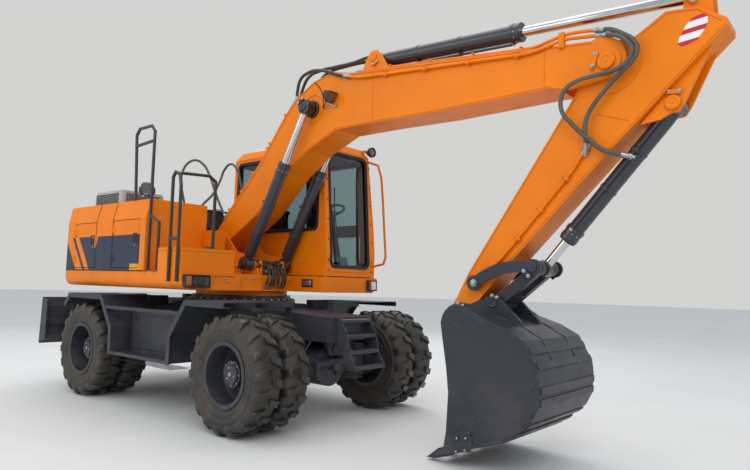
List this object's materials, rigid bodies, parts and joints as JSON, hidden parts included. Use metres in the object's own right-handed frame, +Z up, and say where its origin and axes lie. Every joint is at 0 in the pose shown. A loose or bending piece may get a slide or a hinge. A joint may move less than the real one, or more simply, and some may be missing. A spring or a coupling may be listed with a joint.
{
  "type": "wheeled excavator",
  "caption": "Wheeled excavator on twin tyres with a cab, a one-piece boom, an arm and a bucket moved by cylinders, side steps, and a dozer blade behind",
  "frame": {"origin": "on the ground, midway along the whole machine and across it", "axes": "+X forwards, towards the arm; +Y to the left, the side of the cab; +Z up"},
  "size_m": [7.4974, 2.5, 3.638],
  "materials": {
    "orange_paint": "satin",
    "slate_paint": "satin",
    "black_paint": "satin",
    "chrome_rod": "polished",
    "tyre_rubber": "matte",
    "cab_glass": "clear",
    "black_plastic": "matte",
    "seat_cloth": "woven",
    "cast_block": "cast"
  },
  "bodies": {
    "undercarriage": {"chassis": "slate_paint", "front_axle": "slate_paint", "rear_axle": "slate_paint", "drive_line": "black_paint", "side_step_r": "slate_paint", "side_step_l": "slate_paint", "front_ladder": "slate_paint"},
    "steer_l": {"knuckle_l": "slate_paint"},
    "steer_r": {"knuckle_r": "slate_paint"},
    "track_rod": {"tie_rod": "black_paint"},
    "wheel_fl": {"tyre_fl": "tyre_rubber", "rim_fl": "slate_paint"},
    "wheel_fr": {"tyre_fr": "tyre_rubber", "rim_fr": "slate_paint"},
    "wheel_rl": {"tyre_rl": "tyre_rubber", "rim_rl": "slate_paint"},
    "wheel_rr": {"tyre_rr": "tyre_rubber", "rim_rr": "slate_paint"},
    "blade_arm": {"blade_arms": "slate_paint"},
    "blade": {"blade": "slate_paint"},
    "blade_link": {"blade_links": "slate_paint"},
    "blade_barrel": {"blade_barrels": "black_paint"},
    "blade_rod": {"blade_rods": "chrome_rod"},
    "upper": {"deck": "orange_paint", "counterweight": "slate_paint", "hood": "orange_paint", "engine": "cast_block", "tool_box": "orange_paint", "handrails": "black_paint", "exhaust": "black_paint", "vent_box": "slate_paint", "valve_cover": "black_plastic", "cab_shell": "orange_paint", "cab_glass": "cab_glass", "seat_base": "black_plastic", "seat_cushion": "seat_cloth", "seat_back": "seat_cloth", "controls": "black_plastic", "lamps": "black_paint"},
    "lid": {"engine_lid": "orange_paint"},
    "door_engine": {"side_door_r": "slate_paint"},
    "door_pump": {"pump_door_r": "slate_paint"},
    "door_left": {"side_door_l": "slate_paint"},
    "cab_entry": {"cab_door": "orange_paint", "door_glass": "cab_glass"},
    "boom": {"boom": "orange_paint"},
    "boom_barrel": {"boom_barrels": "black_paint"},
    "boom_rod": {"boom_rods": "chrome_rod"},
    "arm_barrel": {"arm_barrel": "black_paint"},
    "arm_rod": {"arm_rod": "chrome_rod"},
    "arm": {"arm": "orange_paint"},
    "bucket_barrel": {"bucket_barrel": "black_paint"},
    "bucket_rod": {"bucket_rod": "chrome_rod"},
    "side_link": {"side_links": "slate_paint"},
    "bucket_link": {"bucket_link": "slate_paint"},
    "bucket": {"bucket": "slate_paint"}
  },
  "joints": [
    {"name": "slew", "type": "hinge", "parent": "undercarriage", "child": "upper", "pos_m": [-1.3163, 0, 1.2], "axis": [0, 0, 1], "continuous": true},
    {"name": "steer_left", "type": "hinge", "parent": "undercarriage", "child": "steer_l", "pos_m": [0.0337, 0.56, 0.53], "axis": [0, 0, 1], "range_deg": [-28, 28]},
    {"name": "steer_right", "type": "hinge", "parent": "undercarriage", "child": "steer_r", "pos_m": [0.0337, -0.56, 0.53], "axis": [0, 0, 1], "range_deg": [-28, 28]},
    {"name": "track_rod_slide", "type": "slide", "parent": "undercarriage", "child": "track_rod", "axis": [0, 1, 0], "range_m": [-0.09, 0.09]},
    {"name": "spin_fl", "type": "hinge", "parent": "steer_l", "child": "wheel_fl", "pos_m": [0.0337, 0.94, 0.53], "axis": [0, 1, 0], "continuous": true},
    {"name": "spin_fr", "type": "hinge", "parent": "steer_r", "child": "wheel_fr", "pos_m": [0.0337, -0.94, 0.53], "axis": [0, 1, 0], "continuous": true},
    {"name": "spin_rl", "type": "hinge", "parent": "undercarriage", "child": "wheel_rl", "pos_m": [-2.6663, 0.94, 0.53], "axis": [0, 1, 0], "continuous": true},
    {"name": "spin_rr", "type": "hinge", "parent": "undercarriage", "child": "wheel_rr", "pos_m": [-2.6663, -0.94, 0.53], "axis": [0, 1, 0], "continuous": true},
    {"name": "blade_lift", "type": "hinge", "parent": "undercarriage", "child": "blade_arm", "pos_m": [-2.9563, 0, 0.5], "axis": [0, -1, 0], "range_deg": [0, 54]},
    {"name": "blade_level", "type": "hinge", "parent": "blade_arm", "child": "blade", "pos_m": [-3.50872, 0, 0.78147], "axis": [0, -1, 0], "range_deg": [-54, 0]},
    {"name": "blade_link_swing", "type": "hinge", "parent": "undercarriage", "child": "blade_link", "pos_m": [-2.9563, 0, 0.69], "axis": [0, -1, 0], "range_deg": [0, 54]},
    {"name": "blade_barrel_swing", "type": "hinge", "parent": "undercarriage", "child": "blade_barrel", "pos_m": [-3.0883, 0, 1], "axis": [0, -1, 0], "range_deg": [0, 1.5]},
    {"name": "blade_rod_slide", "type": "slide", "parent": "blade_barrel", "child": "blade_rod", "axis": [-0.0809, 0, -0.9967], "range_m": [0, 0.169]},
    {"name": "boom_lift", "type": "hinge", "parent": "upper", "child": "boom", "pos_m": [-1.5663, 0, 1.82], "axis": [0, -1, 0], "range_deg": [-36, 48]},
    {"name": "boom_barrel_swing", "type": "hinge", "parent": "upper", "child": "boom_barrel", "pos_m": [-0.9163, 0, 1.545], "axis": [0, -1, 0], "range_deg": [-36, 48]},
    {"name": "boom_rod_slide", "type": "slide", "parent": "boom_barrel", "child": "boom_rod", "axis": [0.4765, 0, 0.8791], "range_m": [-0.403, 0.537]},
    {"name": "arm_swing", "type": "hinge", "parent": "boom", "child": "arm", "pos_m": [2.9837, 0, 3.01], "axis": [0, 1, 0], "range_deg": [-110, 4]},
    {"name": "arm_barrel_swing", "type": "hinge", "parent": "boom", "child": "arm_barrel", "pos_m": [0.7037, 0, 3.56], "axis": [0, 1, 0], "range_deg": [-0.1, 1.5]},
    {"name": "arm_rod_slide", "type": "slide", "parent": "arm_barrel", "child": "arm_rod", "axis": [0.9984, 0, -0.0559], "range_m": [-1.145, 0.042]},
    {"name": "bucket_curl", "type": "hinge", "parent": "arm", "child": "bucket", "pos_m": [1.7687, 0, 1.15], "axis": [0, 1, 0], "range_deg": [-8, 150]},
    {"name": "side_link_swing", "type": "hinge", "parent": "arm", "child": "side_link", "pos_m": [1.9187, 0, 1.39], "axis": [0, 1, 0], "range_deg": [-5.5, 97]},
    {"name": "bucket_link_swing", "type": "hinge", "parent": "bucket", "child": "bucket_link", "pos_m": [2.0837, 0, 1.23], "axis": [0, 1, 0], "range_deg": [-104, 6]},
    {"name": "bucket_barrel_swing", "type": "hinge", "parent": "arm", "child": "bucket_barrel", "pos_m": [3.4057, 0, 2.652], "axis": [0, 1, 0], "range_deg": [-4.6, 0.3]},
    {"name": "bucket_rod_slide", "type": "slide", "parent": "bucket_barrel", "child": "bucket_rod", "axis": [-0.6498, 0, -0.7601], "range_m": [-0.043, 0.79]},
    {"name": "cab_door_swing", "type": "hinge", "parent": "upper", "child": "cab_entry", "pos_m": [-1.3783, 1.1983, 2.1], "axis": [0, 0, 1], "range_deg": [0, 160]},
    {"name": "engine_lid_lift", "type": "hinge", "parent": "upper", "child": "lid", "pos_m": [-2.2743, 0, 2.1983], "axis": [0, 1, 0], "range_deg": [0, 60]},
    {"name": "engine_door_swing", "type": "hinge", "parent": "upper", "child": "door_engine", "pos_m": [-3.0183, -1.2083, 1.7], "axis": [0, 0, -1], "range_deg": [0, 95]},
    {"name": "pump_door_swing", "type": "hinge", "parent": "upper", "child": "door_pump", "pos_m": [-2.1083, -1.2083, 1.7], "axis": [0, 0, -1], "range_deg": [0, 95]},
    {"name": "left_door_swing", "type": "hinge", "parent": "upper", "child": "door_left", "pos_m": [-3.0183, 1.2083, 1.7], "axis": [0, 0, 1], "range_deg": [0, 95]}
  ],
  "couplings": [
    {"joint": "steer_right", "follows": "steer_left", "ratio": 1},
    {"joint": "track_rod_slide", "follows": "steer_left", "m_per_rad": -0.175},
    {"joint": "blade_level", "follows": "blade_lift", "ratio": -1},
    {"joint": "blade_link_swing", "follows": "blade_lift", "ratio": 1},
    {"joint": "blade_barrel_swing", "follows": "blade_lift", "ratio": 0.0248},
    {"joint": "blade_rod_slide", "follows": "blade_lift", "m_per_rad": 0.1787},
    {"joint": "boom_barrel_swing", "follows": "boom_lift", "ratio": 1},
    {"joint": "boom_rod_slide", "follows": "boom_lift", "m_per_rad": 0.64},
    {"joint": "arm_barrel_swing", "follows": "arm_swing", "ratio": -0.0128},
    {"joint": "arm_rod_slide", "follows": "arm_swing", "m_per_rad": 0.5957},
    {"joint": "side_link_swing", "follows": "bucket_curl", "ratio": 0.644},
    {"joint": "bucket_link_swing", "follows": "bucket_curl", "ratio": -0.689},
    {"joint": "bucket_barrel_swing", "follows": "bucket_curl", "ratio": -0.03},
    {"joint": "bucket_rod_slide", "follows": "bucket_curl", "m_per_rad": 0.3013}
  ]
}
